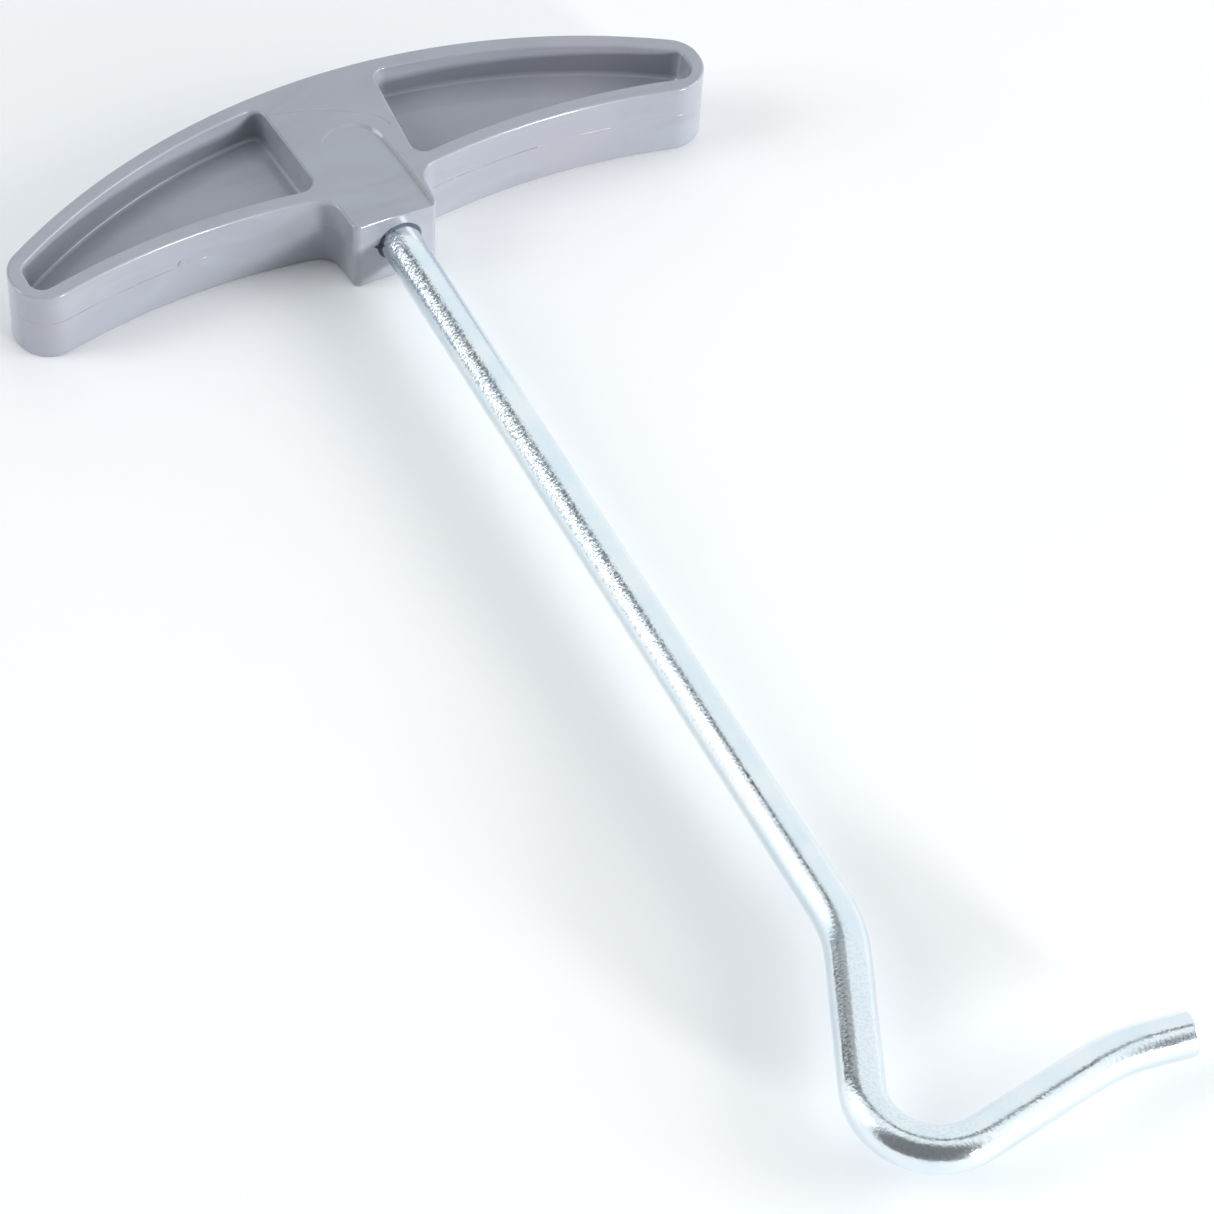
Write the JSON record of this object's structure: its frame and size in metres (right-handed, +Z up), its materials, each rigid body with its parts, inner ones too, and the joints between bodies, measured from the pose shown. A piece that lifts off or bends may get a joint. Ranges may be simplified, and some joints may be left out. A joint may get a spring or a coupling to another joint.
{
  "type": "t-handle hook puller",
  "caption": "T-shaped hand puller: a bowed plastic grip with hollowed wings, moulded round a straight plated rod that cranks aside and turns back into an open hook.",
  "frame": {"origin": "on the underside of the grip, on its centre line, in the middle of the solid pad between the pockets", "axes": "+Z up from the surface the tool lies on, -Y along the shaft towards the hook, X along the grip with +X the way the hook's tip points"},
  "size_m": [0.126, 0.2323, 0.0142],
  "materials": {
    "grip_plastic": "satin moulded grey with a slight blue cast",
    "zinc_plated_steel": "bright zinc plate, pale blue, over drawn wire"
  },
  "bodies": {
    "root": {"grip": "grip_plastic", "hook_rod": "zinc_plated_steel"}
  },
  "joints": []
}
